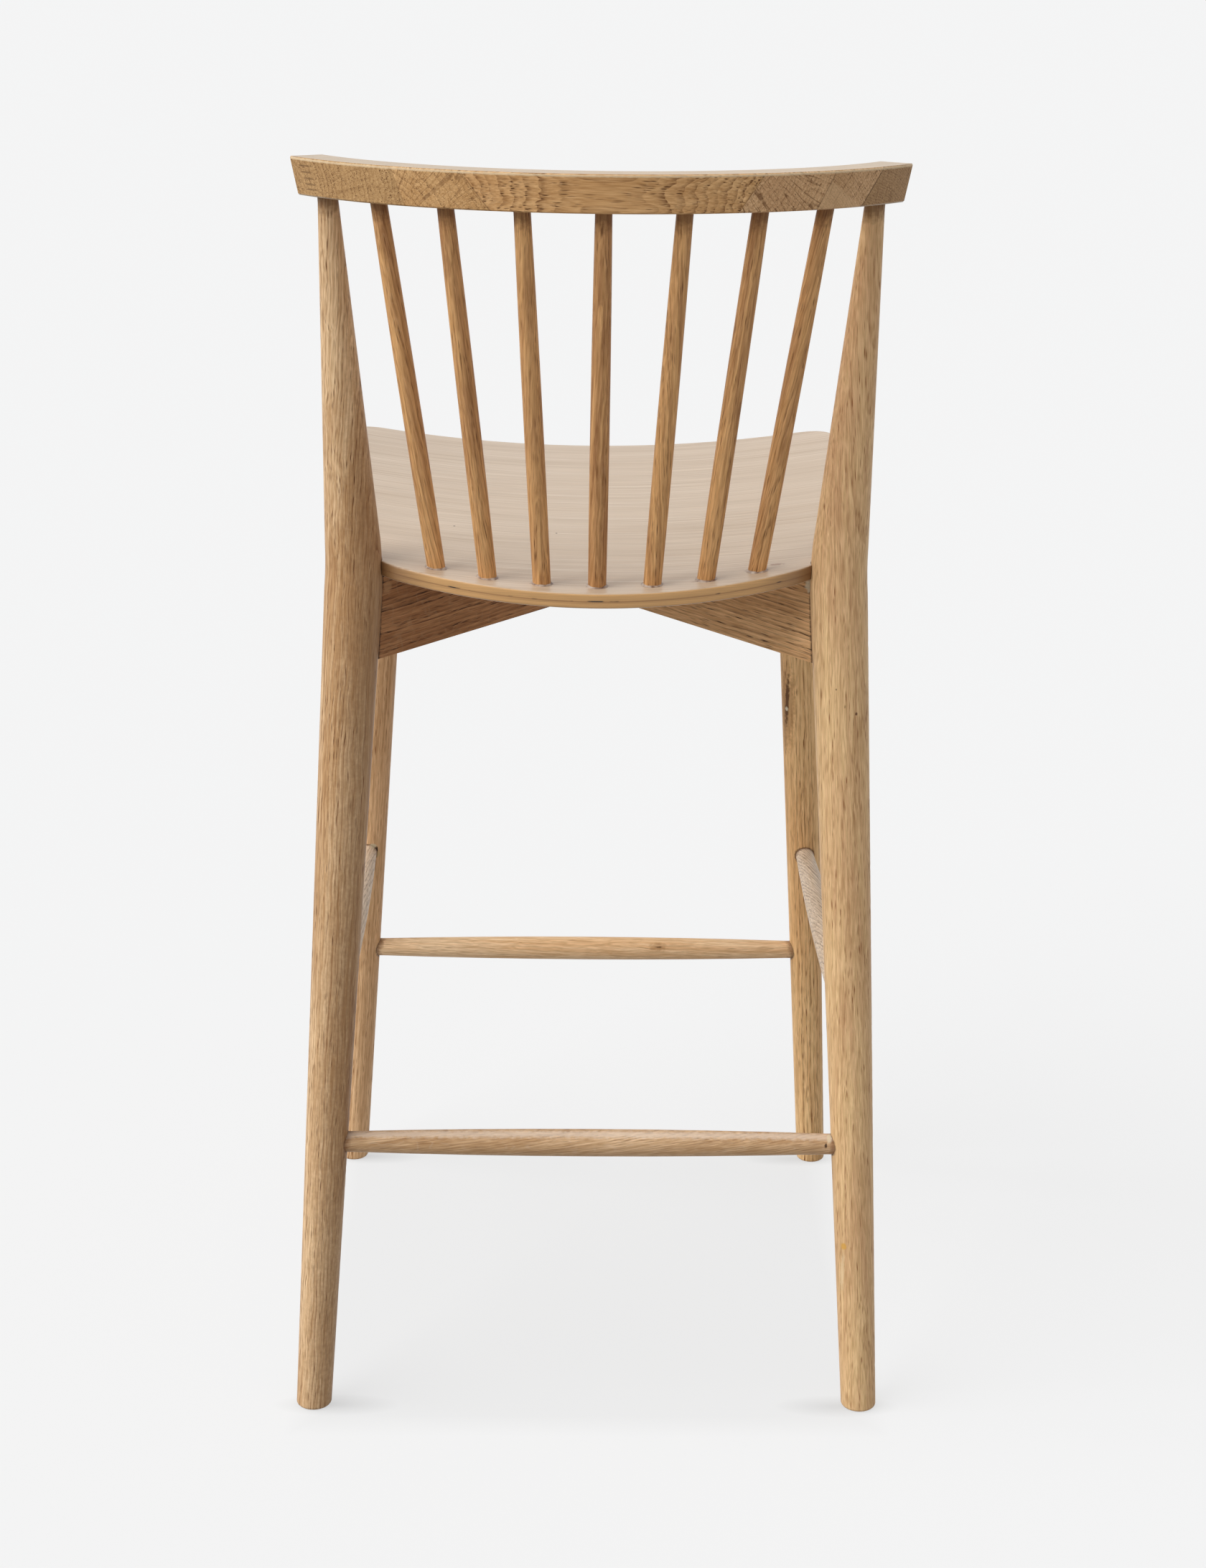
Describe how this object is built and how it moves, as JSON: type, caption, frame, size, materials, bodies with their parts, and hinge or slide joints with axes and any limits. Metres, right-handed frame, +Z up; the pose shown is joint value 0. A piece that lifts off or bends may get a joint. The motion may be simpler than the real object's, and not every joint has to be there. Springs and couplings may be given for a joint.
{
  "type": "counter stool",
  "caption": "Oak counter stool: bowed crest rail on turned spindles, bent tapering back legs, dished plywood seat on crossed bearers, splayed front legs and turned stretchers.",
  "frame": {"origin": "on the floor, in the middle of the stool's box", "axes": "+Z up, the sitter faces -Y, +X is the sitter's left"},
  "size_m": [0.4554, 0.5288, 0.95],
  "materials": {
    "oak_legs": "matt clear lacquer on planed oak",
    "oak_rail": "matt clear lacquer on planed oak",
    "oak_turned": "matt clear lacquer on turned oak",
    "oak_bearers": "matt clear lacquer on sawn oak",
    "plywood_seat": "matt clear lacquer on pale veneer",
    "screw_steel": "zinc plated"
  },
  "bodies": {
    "root": {"back_leg_left": "oak_legs", "back_leg_right": "oak_legs", "front_leg_left": "oak_legs", "front_leg_right": "oak_legs", "rail_block_left_end": "oak_rail", "rail_block_left_inner": "oak_rail", "rail_block_centre": "oak_rail", "rail_block_right_inner": "oak_rail", "rail_block_right_outer": "oak_rail", "rail_block_right_end": "oak_rail", "spindle_1": "oak_turned", "spindle_2": "oak_turned", "spindle_3": "oak_turned", "spindle_4": "oak_turned", "spindle_5": "oak_turned", "spindle_6": "oak_turned", "spindle_7": "oak_turned", "stretcher_front": "oak_turned", "stretcher_back": "oak_turned", "stretcher_left": "oak_turned", "stretcher_right": "oak_turned", "seat_bearer_left": "oak_bearers", "seat_bearer_right": "oak_bearers", "seat_panel": "plywood_seat", "seat_screws": "screw_steel"}
  },
  "joints": []
}
